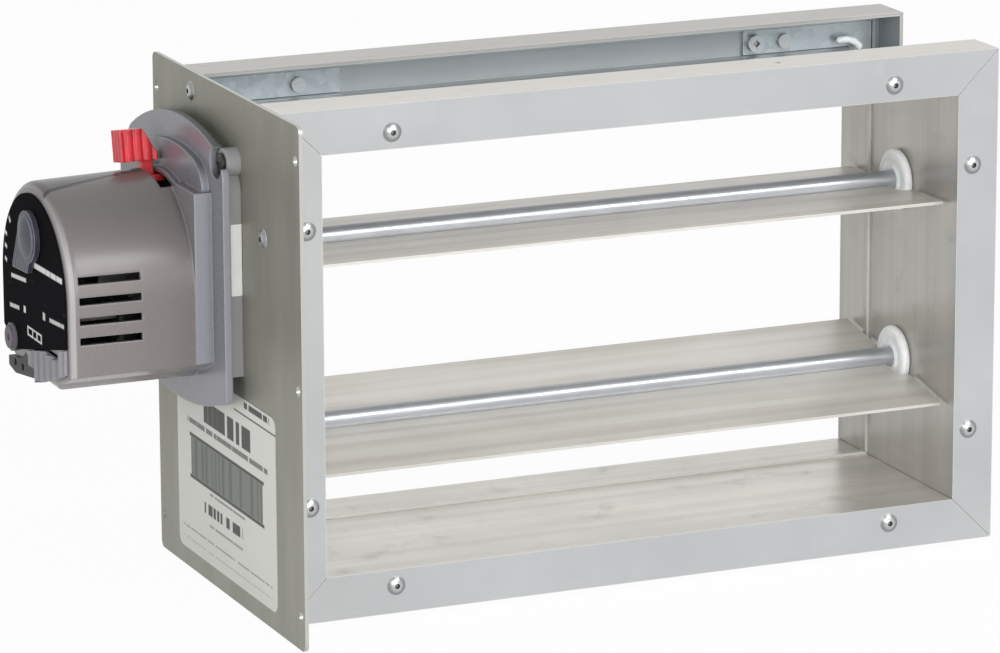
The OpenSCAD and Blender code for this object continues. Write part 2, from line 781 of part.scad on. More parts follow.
module housing_cover() {
    flange_y1 = flange_y0 + flange_w;
    color(housing_grey) difference() {
        union() {
            outward(base_x, flange_t) difference() {
                union() {
                    arched(flange_y0, flange_y1, flange_foot_z, flange_top_z, arch_r, arch_corner);
                    foot(flange_y0, flange_y1, flange_foot_z, 10);
                }
                translate(screw_ears[0]) circle(ear_r + 0.6);
                // Room past the front ear, out to the edge of the flange
                translate([flange_y0 - 1, screw_ears[0][1]]) square([screw_ears[0][0] - flange_y0 + 1, 20]);
            }
            outward(flange_x + eps, step_t) {
                arched(flange_y0 + step_inset, flange_y1 - step_inset, body_side_z, step_top_z,
                       arch_r - flange_top_z + step_top_z, arch_corner);
                foot(flange_y0 + step_inset, flange_y1 - step_inset, body_side_z, body_sag);
            }
            body_solid(0);
            // Flat shoulders beside the round top
            outward(flange_x + eps, shoulder_t) {
                translate([axis_y - body_r, body_side_z]) square([2 * body_r, shoulder_top_z - body_side_z]);
                foot(axis_y - body_r, axis_y + body_r, body_side_z, body_sag);
            }
        }
        translate([eps, 0, 0]) body_solid(cover_t);
        // Hollow behind the shoulders
        outward(base_x + 1, flange_t + shoulder_t - cover_t) intersection() {
            translate([axis_y - body_r + cover_t, 0])
                square([2 * (body_r - cover_t), shoulder_top_z - cover_t]);
            arched(flange_y0 + step_inset + cover_t, flange_y1 - step_inset - cover_t, body_side_z,
                   step_top_z - cover_t, arch_r, arch_corner);
        }
        intersection() {
            vent_slots();
            translate([nose_x + 4, axis_y - 60, 0]) cube([60, 120, 60]);
        }
        lever_slot();
        along_out(nose_x + cover_t + 1, axis_y, axis_z) cylinder(h = 6, d = 5.2);
        // Window for the terminals behind their cover
        outward(nose_x + cover_t + 1, 6) translate([axis_y - 26, -7]) square([30, 8]);
        // Wire way in the end face and the foot, closed by the clamp
        outward(nose_x + clamp_depth + 0.1, clamp_depth + 2) offset(delta = 0.1) clamp_outline();
        // Hole for the cable plug
        along_out(nose_x + cover_t + 1, plug_y, plug_z) cylinder(h = 6, r = plug_r);
    }
    color(housing_grey) {
        // Posts that hold the board, and hooks inside the base's side walls
        for (p = [[-33, 18], [33, 18], [-33, 0]])
            along_out(board_x - board_t, axis_y + p[0], p[1])
                cylinder(h = board_x - board_t - nose_x - cover_t + 1, d = 5);
        for (z = hook_places, y = [base_y0 + base_wall + gap, base_y1 - base_wall - gap - hook_t])
            translate([base_x - eps, y, z]) cube([2.6, hook_t, 10]);
    }
}

// Region below the sloping line that parts the panel from the terminal cover.
module below_foot_line(drop) {
    fall = (foot_line_z[1] - foot_line_z[0]) / (foot_line_y[1] - foot_line_y[0]);
    far = 100;
    polygon([[foot_line_y[0] - far, foot_line_z[0] - fall * far - drop],
             [foot_line_y[1] + far, foot_line_z[1] + fall * far - drop],
             [foot_line_y[1] + far, -2 * far], [foot_line_y[0] - far, -2 * far]]);
}

// Black panel on the end face, an arch over a sloping foot.
module dial_label() {
    color(ink_black) outward(nose_x, label_t) difference() {
        tombstone(panel_r, panel_z, panel_side_z, panel_sag);
        below_foot_line(0);
        offset(delta = 0.5) clamp_outline();
        translate([axis_y, axis_z]) circle(4);
        translate([plug_y, plug_z]) circle(grommet_r + 0.4);
    }
}

// Output gear on the upper shaft's end, its teeth facing the indicator gear.
module output_gear() {
    color(nylon)
    translate([gear_x, shaft_y, shaft_upper_z]) rotate([90, 0, 90]) mirror([0, 0, 1]) difference() {
        linear_extrude(gear_t) rotate(drive_tilt) sector(drive_n, drive_module, -1, 9, 9, false);
        translate([0, 0, -1]) cylinder(h = gear_t + 2, d = shaft_d + 2 * fit);
    }
}

// Indicator gear with the long spindle that carries the pointer.
module indicator_gear() {
    spindle = gear_x - nose_x + 3;
    color(nylon) translate([gear_x, axis_y, axis_z]) rotate([90, 0, 90]) mirror([0, 0, 1]) difference() {
        union() {
            linear_extrude(gear_t) {
                circle(drive_r - 1.15 * drive_module, $fn = fine);
                rotate(180 - 180 / drive_n + drive_tilt) teeth(drive_n, drive_module, 0, drive_n - 1);
            }
            cylinder(h = spindle, d = 5);
            cylinder(h = gear_t + 4, d = 9);
        }
        translate([0, 0, -1]) cylinder(h = 3.2, d = 4 + 2 * fit);
    }
}

// Pointer on the spindle: a low domed knob with a wide slanted finger.
module dial_pointer() {
    r = pointer_d / 2;
    color([0.42, 0.42, 0.47]) translate([nose_x - label_t - 0.3, axis_y, axis_z]) difference() {
        union() {
            outward_local(2.2) {
                circle(r, $fn = fine);
                rotate(pointer_aim) polygon([[0, -pointer_front], [pointer_tip_short, -pointer_front],
                                             [pointer_tip_long, pointer_rear - 0.8],
                                             [pointer_tip_long - 1.6, pointer_rear], [0, pointer_rear]]);
            }
            rotate([0, -90, 0]) rotate_extrude($fn = fine) intersection() {
                translate([0, 4.2 - 24]) circle(24, $fn = 128);
                square([r * 0.8, 5]);
            }
        }
        rotate([0, -90, 0]) translate([0, 0, -1]) cylinder(h = 3, d = 5 + 2 * fit);
    }
}

// Flat outline drawn as (Y, Z) that starts at x = 0 and thickens towards -X.
module outward_local(thickness) {
    rotate([90, 0, 90]) mirror([0, 0, 1]) linear_extrude(thickness) children();
}

module drive_motor() {
    motor_x = base_x - 3;
    color(galv) difference() {
        union() {
            outward(motor_x, 1.5) translate([axis_y, pinion_z]) rounded_rect(2 * motor_half + 8, 11, 5);
            along_out(motor_x - 1.4, axis_y, pinion_z) cylinder(h = 24, r = 18.5, $fn = fine);
            along_out(motor_x - 25, axis_y, pinion_z) cylinder(h = 3, d = 10);
        }
        for (y = [-1, 1]) along_out(motor_x + 1, axis_y + y * motor_half, pinion_z) cylinder(h = 4, d = 3.2);
        along_out(motor_x + 1, axis_y, pinion_z) cylinder(h = 6, d = 3 + 2 * fit);
    }
}

module motor_screws() {
    color(galv) for (y = [-1, 1])
        along_out(base_x - 4.5, axis_y + y * motor_half, pinion_z) pan_screw(5, 1.8, 2.5, 6);
}

module motor_pinion() {
    color([0.75, 0.62, 0.32]) translate([gear_x, axis_y, pinion_z]) rotate([90, 0, 90]) mirror([0, 0, 1]) {
        linear_extrude(gear_t) {
            circle(pinion_r - 1.15 * drive_module);
            rotate(90 - 180 / pinion_n - drive_tilt * drive_n / pinion_n)
                teeth(pinion_n, drive_module, 0, pinion_n - 1);
        }
        cylinder(h = 9, d = 3);
    }
}

// Board across the housing with a relay, a capacitor and two end switches.
module circuit_board() {
    half = nose_r - cover_t + 0.3;
    color([0.12, 0.35, 0.2]) {
        outward(board_x, board_t) translate([axis_y - half, -3]) square([2 * half, 25]);
        outward(board_x + 9, 9 + eps) translate([axis_y - 30, 4]) square([14, 16]);
        along_out(board_x + 8, axis_y + 33, 6) cylinder(h = 8 + eps, d = 9);
        for (y = [10, 19]) outward(board_x + 6, 6 + eps) translate([axis_y + y, 3]) square([5.5, 14]);
    }
}

// Terminal strip on the board, reached from the end face.
module terminal_block() {
    color([0.16, 0.3, 0.24]) difference() {
        outward(board_x - board_t, board_x - board_t - nose_x - cover_t - 0.6)
            translate([axis_y - 25, -2.8]) square([30, 7]);
        for (i = [0:4]) along_out(nose_x + cover_t + 6, axis_y - 22 + i * 6, 0.5) cylinder(h = 8, d = 4);
    }
}

// Ribbed cover over the terminals, below the dial panel.
module terminal_cover() {
    y0 = axis_y - nose_r + 3.5;
    color(flange_grey) intersection() {
        union() {
            outward(nose_x, 1.4) translate([y0, -30]) square([foot_line_y[1] - y0, 40]);
            for (i = [0:5]) translate([nose_x - 1.2, y0 + 3.4 + i * 7.2, -30]) cylinder(h = 40, r = 1.6, $fn = 24);
        }
        outward(nose_x, 6) difference() {
            tombstone(nose_r - 3.2, body_z, body_side_z, body_sag - 1.5);
            offset(delta = 0.3) clamp_outline();
            square([200, 20 + 2 * foot_line_z[0]]);
            translate([-100, foot_line_z[0]]) square(200);
        }
        outward(nose_x, 6) below_foot_line(0.4);
    }
}

// Outline of the black cable clamp at the foot of the end face, as (Y, Z).
module clamp_outline() {
    polygon([[43.4, -5.2], [50, -9.6], [66, -12], [66, -15.8], [58, -17.4], [28, -13.4]]);
}

// Clamp in the wire way, with two wire grooves, its lip behind the housing's wall.
module wire_clamp() {
    color(ink_black) difference() {
        union() {
            outward(nose_x + clamp_depth, clamp_depth + 0.8) clamp_outline();
            intersection() {
                outward(nose_x + cover_t + 3, 2.8) offset(delta = 1.6) clamp_outline();
                body_solid(cover_t + 0.1);
            }
        }
        for (y = [49, 58]) along_out(nose_x + 4, y, -13) cylinder(h = 6, d = 3);
    }
}

module wire_grommet() {
    color([0.36, 0.33, 0.38]) translate([nose_x, plug_y, plug_z]) rotate([0, -90, 0]) rotate_extrude() {
        difference() {
            union() {
                square([grommet_r, 1.6]);
                translate([0, 1.5]) square([grommet_r - 1.1, 1.2]);
                translate([0, -cover_t - 1]) square([plug_r - 0.1, cover_t + 2]);
            }
            translate([-10, -10]) square([11.5, 20]);
        }
    }
}

// Ribbed thumb piece on a stem through the arc slot, with a curved foot inside the wall.
module release_lever() {
    foot_r = body_r - cover_t - 1;
    thumb_r = body_r + lever_rise;
    thumb_mid = thumb_r + lever_h / 2;
    color([0.80, 0.10, 0.14]) translate([0, axis_y, body_z]) rotate([90 - lever_rest, 0, 0]) {
        // Thumb piece and stem along the local +Y direction, away from the centre line
        difference() {
            translate([lever_x0, thumb_r, -lever_w / 2]) linear_extrude(lever_w)
                polygon([[-lever_len, 0], [0, 0], [0, 2.5], [-5.5, lever_h], [-lever_len, lever_h]]);
            for (x = [0:3], side = [-1, 1])
                translate([lever_x0 - 2 - x * 3.7, thumb_mid, side * (lever_w / 2 + 0.3)])
                    rotate([90, 0, 0]) cylinder(h = 30, r = 1, center = true, $fn = 24);
            for (z = [-1:1]) translate([lever_x0 - lever_len - 0.3, thumb_mid, z * 3.2])
                rotate([90, 0, 0]) cylinder(h = 30, r = 1, center = true, $fn = 24);
        }
        translate([slot_x0 - slot_w + 0.5, foot_r - 1, -1.6])
            cube([slot_w - 1, thumb_r + 2 - foot_r, 3.2]);
        intersection() {
            translate([slot_x0 + 2, 0, 0]) rotate([0, -90, 0]) difference() {
                cylinder(h = slot_w + 4, r = foot_r, $fn = fine);
                translate([0, 0, -1]) cylinder(h = slot_w + 6, r = foot_r - 2.2, $fn = fine);
            }
            translate([slot_x0 - slot_w - 3, 0, -6]) cube([slot_w + 6, 60, 12]);
        }
    }
}

// Blank sticker on the front edge of the mounting base.
module side_sticker() {
    color("white") translate([base_x + 0.2, base_y0 - 0.2, 24]) cube([base_t - 0.4, 0.2, 28]);
}

frame_top();
frame_bottom();
frame_left();
frame_right();
gusset_front_top_left();
gusset_front_top_right();
gusset_front_bottom_left();
gusset_front_bottom_right();
gusset_back_top_left();
gusset_back_top_right();
gusset_back_bottom_left();
gusset_back_bottom_right();
rivets_front();
rivets_back();
gusset_screw();
side_plate();
plate_rivets();
rating_label();
blade_upper();
blade_lower();
shaft_upper();
shaft_lower();
bushing_upper_left();
bushing_upper_right();
bushing_lower_left();
bushing_lower_right();
timing_gear_upper();
timing_gear_lower();
clip_upper();
clips_lower();
mounting_base();
base_screws();
housing_cover();
output_gear();
indicator_gear();
dial_pointer();
dial_label();
drive_motor();
motor_screws();
motor_pinion();
circuit_board();
terminal_block();
terminal_cover();
wire_grommet();
wire_clamp();
release_lever();
side_sticker();
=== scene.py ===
"""Looks and studio for the rectangular zone damper, laid out as an add-on and run as a script."""

import math

import bmesh
import bpy
from bpy.props import FloatProperty, FloatVectorProperty, PointerProperty
from mathutils import Matrix, Vector


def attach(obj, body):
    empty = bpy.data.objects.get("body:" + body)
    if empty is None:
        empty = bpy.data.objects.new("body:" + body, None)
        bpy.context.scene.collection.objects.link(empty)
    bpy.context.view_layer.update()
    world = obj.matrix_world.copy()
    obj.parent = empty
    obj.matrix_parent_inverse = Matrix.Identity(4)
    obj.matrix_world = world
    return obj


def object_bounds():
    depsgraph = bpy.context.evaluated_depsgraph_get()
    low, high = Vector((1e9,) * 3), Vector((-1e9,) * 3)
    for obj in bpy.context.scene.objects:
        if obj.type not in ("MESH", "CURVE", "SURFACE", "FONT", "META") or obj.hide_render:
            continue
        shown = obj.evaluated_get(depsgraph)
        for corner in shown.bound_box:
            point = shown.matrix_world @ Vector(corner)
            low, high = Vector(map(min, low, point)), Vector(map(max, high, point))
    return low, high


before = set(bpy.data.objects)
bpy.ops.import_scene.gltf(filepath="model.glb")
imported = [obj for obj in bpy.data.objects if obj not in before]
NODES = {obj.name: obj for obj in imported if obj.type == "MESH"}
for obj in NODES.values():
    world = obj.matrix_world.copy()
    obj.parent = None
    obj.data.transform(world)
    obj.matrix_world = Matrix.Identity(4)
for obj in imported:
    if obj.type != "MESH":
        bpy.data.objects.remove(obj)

bl_info = {
    "name": "Zone damper looks",
    "version": (1, 0, 0),
    "blender": (4, 5, 0),
    "location": "View3D > Sidebar > Damper",
    "description": "Finishes, printed marks and studio for a rectangular zone damper",
    "category": "Object",
}

CAD_BOX = [list(corner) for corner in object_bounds()]
MM = 0.001

# Frame, in millimetres: its middle and half of its airway. A pair says where a finish starts and
# where it is full: on the flanges by their distance from the middle in Y, on the lips by how far
# they lie past the webs, and for the painted shade on the back lips by their Y
FRAME_X = 152
FRAME_Y = -3
FRAME_Z = 1.5
AIRWAY_HALF_WIDTH = FRAME_X - 17.5
AIRWAY_HALF_HEIGHT = 100 - 17.5
FLANGE_FROM_MIDDLE = (49.8, 50.4)
LIP_PAST_WEB = (16.2, 16.8)
BACK_LIP_SHADE_Y = (20, 30)

# Actuator, in millimetres: where the cover's flange starts, the parting line on its round top from
# the nose back, the face of the circuit board, and the pointer's hub, slant and finger. The ribs of
# the finger follow a sine, in radians to the millimetre
COVER_FLANGE_X = (-17.6, -16.6)
SEAM_NOSE_X, SEAM_NOSE_Y, SEAM_SLOPE = -67.5, 22.5, 0.264
SEAM_END_X = (-34, -32)
BOARD_FACE_X = (-43.2, -42.8)
POINTER_Y, POINTER_Z = 33.6, 42.5
POINTER_AIM = math.radians(-63)
POINTER_FINGER = (8, 10)
POINTER_RIBS = 2.6

# Sealant bead in the back top right corner, in millimetres
BEAD_PATH = (
    (280.6, 42, 88.8),
    (283.8, 42, 89.3),
    (287.3, 42, 88.8),
    (290.2, 42, 86.9),
    (291.6, 42, 84.6),
)
BEAD_RADIUS = 1.5

# Grain of drawn metal: long along one axis
ALONG_X = (0.02, 1, 1)
ALONG_Z = (1, 1, 0.02)
# Noise that changes across a label and hardly from top to bottom
UPRIGHT_STRIPES = (0, 1, 0.001)

# Camera of the photograph, in the damper's frame
CAMERA_PLACE = (-0.7276, -1.9631, 0.5332)
CAMERA_RIGHT = (0.91885, -0.39459, -0.00419)
CAMERA_UP = (0.10003, 0.22264, 0.96976)
CAMERA_BACK = (-0.38173, -0.89148, 0.24404)
SENSOR_WIDTH = 36.0
FOCAL_PIXELS = 5593.4
IMAGE_WIDTH = 1000.0

# Floor, in metres: half of its side, and where its middle lies
FLOOR_HALF_SIDE = 3.0
FLOOR_X = 0.15

# Sockets of a Mix node that blends colours
MIX_SHARE, MIX_FIRST, MIX_SECOND, MIX_RESULT = 0, 6, 7, 2


def tone(red, green, blue):
    """Linear colour of a surface that looks (red, green, blue) on a scale of 255."""
    shares = (red / 255, green / 255, blue / 255)
    return tuple(s / 12.92 if s <= 0.04045 else ((s + 0.055) / 1.055) ** 2.4 for s in shares)


def colour_property(name, description, default):
    return FloatVectorProperty(
        name=name, description=description, subtype="COLOR", size=3, min=0, max=1, default=default
    )


def length_property(name, description, default):
    return FloatProperty(
        name=name, description=description, default=default, min=0, unit="LENGTH", precision=4
    )


def share_property(name, description, default):
    return FloatProperty(
        name=name, description=description, default=default, min=0, max=1, subtype="FACTOR"
    )


def power_property(name, description, default):
    return FloatProperty(name=name, description=description, default=default, min=0, unit="POWER")


class DamperMetals(bpy.types.PropertyGroup):
    """Colours and grain of the frame, blades, plate and shafts."""

    flange: colour_property("Flange", "Front and back flanges of the channel", tone(182, 184, 185))
    channel: colour_property("Channel", "Webs and lips of the channel", tone(221, 217, 210))
    channel_dull: colour_property("Channel, dull", "Dull streaks on the webs", tone(199, 197, 191))
    # Painted shade: a darker colour for the inside of the channel
    trough: colour_property("Trough", "Inside of the channel", tone(182, 187, 189))
    blade: colour_property("Blade", "Blade sheet", tone(222, 220, 214))
    blade_dull: colour_property("Blade, dull", "Dull streaks on the blades", tone(200, 196, 188))
    zinc: colour_property("Zinc", "Gussets", tone(196, 204, 208))
    zinc_dark: colour_property("Zinc, dark", "Darker crystals on the gussets", tone(150, 160, 166))
    rivet: colour_property("Rivets", "Blind rivets", tone(205, 207, 208))
    shaft: colour_property("Shafts", "Plated rods", tone(178, 181, 187))
    plate: colour_property("Plate", "Dull face of the side plate", tone(138, 138, 127))
    plate_pale: colour_property("Plate, pale", "Pale streaks on the plate", tone(148, 148, 138))
    cut_edge: colour_property("Cut edge", "Bare cut edge of the plate", tone(186, 186, 181))
    grain_depth: length_property("Grain depth", "Depth of the draw lines", 0.03 * MM)
    edge_wear: length_property("Edge wear", "Width of the bright worn edges", 0.6 * MM)


class DamperActuator(bpy.types.PropertyGroup):
    """Colours of the actuator on the side plate."""

    housing: colour_property("Housing", "Moulded cover", tone(128, 122, 121))
    flange: colour_property("Flange", "Flange and shoulders of the cover", tone(126, 127, 134))
    base: colour_property("Base", "Tray under the cover", tone(160, 159, 160))
    panel: colour_property("Panel", "Dial panel film", tone(24, 24, 27))
    marks: colour_property("Marks", "Printed marks on the dial", tone(226, 226, 226))
    pointer: colour_property("Pointer", "Position pointer", tone(54, 56, 70))
    lever: colour_property("Lever", "Release lever", tone(214, 28, 44))
    terminals: colour_property("Terminal cover", "Ribbed cover", tone(140, 139, 144))
    rubber: colour_property("Grommet", "Rubber of the plug", tone(104, 99, 106))
    black: colour_property("Black parts", "Screws and cable clamp", tone(30, 30, 32))
    soft_edge: length_property("Soft edges", "Radius of the moulded edges", 1.2 * MM)


class DamperLabels(bpy.types.PropertyGroup):
    """Blank label film and its plain printed shapes."""

    film: colour_property("Film", "Label film", tone(226, 226, 220))
    ink: colour_property("Ink", "Printed bars", tone(30, 30, 28))
    box_grey: colour_property("Grey box", "Framed box on the label", tone(132, 136, 130))


class DamperStudio(bpy.types.PropertyGroup):
    """Lamps, floor and world."""

    key_watts: power_property("Key", "Power of the front softbox", 24)
    strip_watts: power_property("Strip", "Power of the left strip", 6)
    card_watts: power_property("High lamp", "Power of the lamp high at the right", 18)
    ambient: share_property("Ambient", "World light that falls on the part", 0.42)
    floor_white: share_property("Floor white", "Share of the floor that shows plain white", 0.96)


class Wire:
    """A node's output that can be used in plain arithmetic."""

    def __init__(self, nodes, socket):
        self.nodes = nodes
        self.socket = socket

    def math(self, operation, *values):
        return self.nodes.node("ShaderNodeMath", {"operation": operation}, list(values))

    def __add__(self, other):
        return self.math("ADD", self, other)

    __radd__ = __add__

    def __sub__(self, other):
        return self.math("SUBTRACT", self, other)

    def __rsub__(self, other):
        return self.math("SUBTRACT", other, self)

    def __mul__(self, other):
        return self.math("MULTIPLY", self, other)

    __rmul__ = __mul__

    def __abs__(self):
        return self.math("ABSOLUTE", self)

    def __or__(self, other):
        return self.math("MAXIMUM", self, other)

    __ror__ = __or__

    def sine(self):
        return self.math("SINE", self)

    def step(self, low, high):
        """0 up to low, 1 from high, smooth between them."""
        values = {"Value": self, "From Min": low, "From Max": high}
        return self.nodes.node("ShaderNodeMapRange", {"interpolation_type": "SMOOTHSTEP"}, values)


class Nodes:
    """The nodes of a material or of the world."""

    def __init__(self, owner):
        owner.use_nodes = True
        self.tree = owner.node_tree
        self.tree.nodes.clear()

    def node(self, kind, settings=None, values=None, output=0):
        """Adds a node of that kind: its settings first, then the values or links of its sockets."""
        made = self.tree.nodes.new(kind)
        for name, value in (settings or {}).items():
            setattr(made, name, value)
        pairs = values.items() if isinstance(values, dict) else enumerate(values or [])
        for key, value in pairs:
            socket = made.inputs[key]
            if isinstance(value, Wire):
                self.tree.links.new(value.socket, socket)
            elif socket.type == "RGBA" and len(value) == 3:
                socket.default_value = (*value, 1)
            else:
                socket.default_value = value
        return Wire(self, made.outputs[output]) if made.outputs else None

    def background_rays(self):
        """1 for rays that show the background: seen, mirrored or let through."""
        seen, mirrored, let_through = (
            self.node("ShaderNodeLightPath", output=f"Is {kind} Ray")
            for kind in ("Camera", "Glossy", "Transmission")
        )
        return seen | mirrored | let_through


class Finish(Nodes):
    """One surface finish, built as a node material; x, y and z are places in millimetres."""

    def __init__(self, name):
        self.material = bpy.data.materials.new(name)
        super().__init__(self.material)
        self.place = self.node("ShaderNodeTexCoord", output="Object")
        self.x, self.y, self.z = self.parts(self.place, 1 / MM)
        self.nx, self.ny, self.nz = self.parts(self.node("ShaderNodeTexCoord", output="Normal"), 1)

    def parts(self, vector, scale):
        """The three parts of a vector, each times a scale."""
        scaled = self.brighten(vector, scale)
        return [self.node("ShaderNodeSeparateXYZ", None, [scaled], axis) for axis in "XYZ"]

    def brighten(self, colour, level):
        """A colour or vector times a number."""
        values = {"Vector": colour, "Scale": level}
        return self.node("ShaderNodeVectorMath", {"operation": "SCALE"}, values)

    def mix(self, first, second, share):
        """The first colour where share is 0 and the second where it is 1."""
        values = {MIX_SHARE: share, MIX_FIRST: first, MIX_SECOND: second}
        return self.node("ShaderNodeMix", {"data_type": "RGBA"}, values, MIX_RESULT)

    def noise(self, per_metre, detail=2, roughness=0.5, along=(1, 1, 1)):
        """Cloudy value about 0.5, per_metre clouds to the metre, stretched where along is small."""
        stretch = tuple(per_metre * part for part in along)
        multiply = {"operation": "MULTIPLY"}
        vector = self.node("ShaderNodeVectorMath", multiply, [self.place, stretch])
        values = {"Vector": vector, "Scale": 1.0, "Detail": detail, "Roughness": roughness}
        return self.node("ShaderNodeTexNoise", None, values)

    def crystals(self, per_metre):
        """A level for each cell of a zinc coat."""
        values = {"Vector": self.place, "Scale": per_metre}
        cells = self.node("ShaderNodeTexVoronoi", None, values, "Color")
        return self.node("ShaderNodeSeparateColor", None, [cells])

    def rounded(self, radius):
        """Normal of the surface with its edges rounded."""
        return self.node("ShaderNodeBevel", {"samples": 6}, {"Radius": radius})

    def edge(self, radius):
        """1 on sharp outer and inner edges, 0 on flat places."""
        flat = self.node("ShaderNodeNewGeometry", output="Normal")
        dot = {"operation": "DOT_PRODUCT"}
        level = self.node("ShaderNodeVectorMath", dot, [self.rounded(radius), flat], "Value")
        return 1 - level.step(0.80, 0.995)

    def recess(self, reach):
        """1 deep in holes and corners, 0 in the open."""
        values = {"Distance": reach}
        open_share = self.node("ShaderNodeAmbientOcclusion", {"samples": 8}, values, "AO")
        return 1 - open_share.step(0.15, 0.85)

    def stroke(self, start, end, width, soft=0.3):
        """1 on a straight bar between two places (Y, Z) in millimetres."""
        run, rise = end[0] - start[0], end[1] - start[1]
        length = math.hypot(run, rise)
        run, rise = run / length, rise / length
        along = (self.y - start[0]) * run + (self.z - start[1]) * rise
        across = (self.z - start[1]) * run - (self.y - start[0]) * rise
        beyond = (abs(along - length / 2) - length / 2) | (abs(across) - width / 2)
        return 1 - beyond.step(-soft, soft)

    def block(self, y0, y1, z0, z1, soft=0.3):
        """1 inside a printed block between two widths and two heights in millimetres."""
        sideways = abs(self.y - (y0 + y1) / 2) - abs(y1 - y0) / 2
        upwards = abs(self.z - (z0 + z1) / 2) - abs(z1 - z0) / 2
        return 1 - (sideways | upwards).step(-soft, soft)

    def surface(
        self, colour, roughness, metallic=0.0, relief=None, depth=0.03 * MM, soft_edge=0.0, **fixed
    ):
        """Joins the channels to the shader and returns the material."""
        values = {"Base Color": colour, "Roughness": roughness, "Metallic": metallic}
        normal = self.rounded(soft_edge) if soft_edge else None
        if relief is not None:
            bump = {"Strength": 1.0, "Distance": depth, "Height": relief}
            if normal:
                bump["Normal"] = normal
            normal = self.node("ShaderNodeBump", None, bump)
        if normal:
            values["Normal"] = normal
        values.update({name.replace("_", " "): value for name, value in fixed.items()})
        shader = self.node("ShaderNodeBsdfPrincipled", None, values)
        self.node("ShaderNodeOutputMaterial", None, {"Surface": shader})
        return self.material


def dress(material, *names):
    """Puts a finish on CAD nodes."""
    for name in names:
        mesh = NODES[name].data
        mesh.materials.clear()
        mesh.materials.append(material)


def nodes_named(start):
    """Names of the CAD nodes that begin with these letters."""
    return [name for name in NODES if name.startswith(start)]


def channel_aluminium(name, metals, grain, web_painted_light):
    """Drawn aluminium channel: neutral flanges, warmer webs, lines along the member, with painted
    shade and a painted highlight on the step in the web.
    """
    f = Finish(name)
    lines = f.noise(1500, along=grain)
    bands = f.noise(110, detail=4, roughness=0.62, along=grain)
    clouds = f.noise(22, detail=3, roughness=0.55)
    smudges = f.noise(70, detail=4, roughness=0.6).step(0.56, 0.72)
    wear_and_highlight = f.edge(metals.edge_wear)
    bare_and_highlight, grime_and_shade = tone(240, 240, 236), tone(96, 96, 94)
    # Which part of the channel this is, by the distance past the face of the web
    facing_air = abs(f.ny).step(0.7, 0.9)
    flange = facing_air * abs(f.y - FRAME_Y).step(*FLANGE_FROM_MIDDLE)
    past_web = (abs(f.z - FRAME_Z) - AIRWAY_HALF_HEIGHT) | (abs(f.x - FRAME_X) - AIRWAY_HALF_WIDTH)
    lip = past_web.step(*LIP_PAST_WEB)
    # Painted shade goes on the inside of the channel past the web
    trough = past_web.step(0, 0.5) * (1 - lip)
    step_face = facing_air * (1 - past_web.step(-0.2, 0))
    streaks = (bands * 0.7 + clouds * 0.3).step(0.3, 0.68)
    web_colour = f.mix(metals.channel_dull, metals.channel, streaks)
    # Painted light and shade: the level makes the webs of the cross members lighter and those of
    # the upright members darker
    web_colour = f.brighten(web_colour, web_painted_light - web_painted_light * 0.1 * smudges)
    lip_colour = f.mix(metals.channel, metals.channel_dull, streaks * 0.35)
    # Painted shade: the back lips are drawn darker than the front lips
    lip_colour = f.brighten(lip_colour, 0.94 - 0.3 * f.y.step(*BACK_LIP_SHADE_Y))
    colour = f.mix(f.mix(web_colour, lip_colour, lip), metals.trough, trough)
    colour = f.mix(colour, metals.flange, flange)
    colour = f.brighten(colour, 0.88 + 0.2 * clouds)
    # Painted shade: darker in recesses past the webs
    colour = f.mix(colour, grime_and_shade, f.recess(2 * MM) * 0.3 * past_web.step(0.2, 0.4))
    # Edges lighter from wear; the face of the step in the web gets a painted highlight
    colour = f.mix(colour, bare_and_highlight, wear_and_highlight * 0.6 | step_face * 0.9)
    polish = 0.12 * (1 - (facing_air | trough))
    roughness = 0.36 - polish + 0.12 * clouds + 0.1 * smudges - 0.1 * wear_and_highlight
    relief = lines * 0.35 + bands * 0.2
    return f.surface(colour, roughness, 0.5 + polish, relief, metals.grain_depth)


def blade_aluminium(name, metals):
    """Rolled sheet with long draw lines and a few scuffs."""
    f = Finish(name)
    lines = f.noise(1200, along=ALONG_X)
    bands = f.noise(120, detail=3, along=ALONG_X)
    clouds = f.noise(25, detail=3, roughness=0.6)
    scuffs = f.noise(300, detail=3, roughness=0.6, along=(0.15, 1, 1)).step(0.62, 0.74)
    bare_and_highlight = tone(238, 236, 230)
    streaks = (bands * 0.75 + clouds * 0.25).step(0.34, 0.64)
    colour = f.mix(metals.blade_dull, metals.blade, streaks)
    colour = f.mix(colour, bare_and_highlight, f.edge(metals.edge_wear) * 0.6)
    roughness = 0.35 + 0.07 * clouds + 0.12 * scuffs
    relief = lines * 0.5 + bands * 0.5 + scuffs * 0.2
    return f.surface(colour, roughness, 0.42, relief, metals.grain_depth)


def spangled_zinc(name, metals):
    """Zinc coated strip with crystals of uneven brightness."""
    f = Finish(name)
    crystals = f.crystals(300)
    fine = f.noise(900, detail=3, roughness=0.6)
    bare_and_highlight = tone(232, 234, 236)
    colour = f.mix(metals.zinc_dark, metals.zinc, 0.45 + 0.55 * crystals)
    colour = f.mix(colour, bare_and_highlight, f.edge(metals.edge_wear) * 0.5)
    roughness = 0.26 + 0.2 * crystals + 0.08 * fine
    return f.surface(colour, roughness, 0.7, fine + crystals * 0.4, metals.grain_depth)


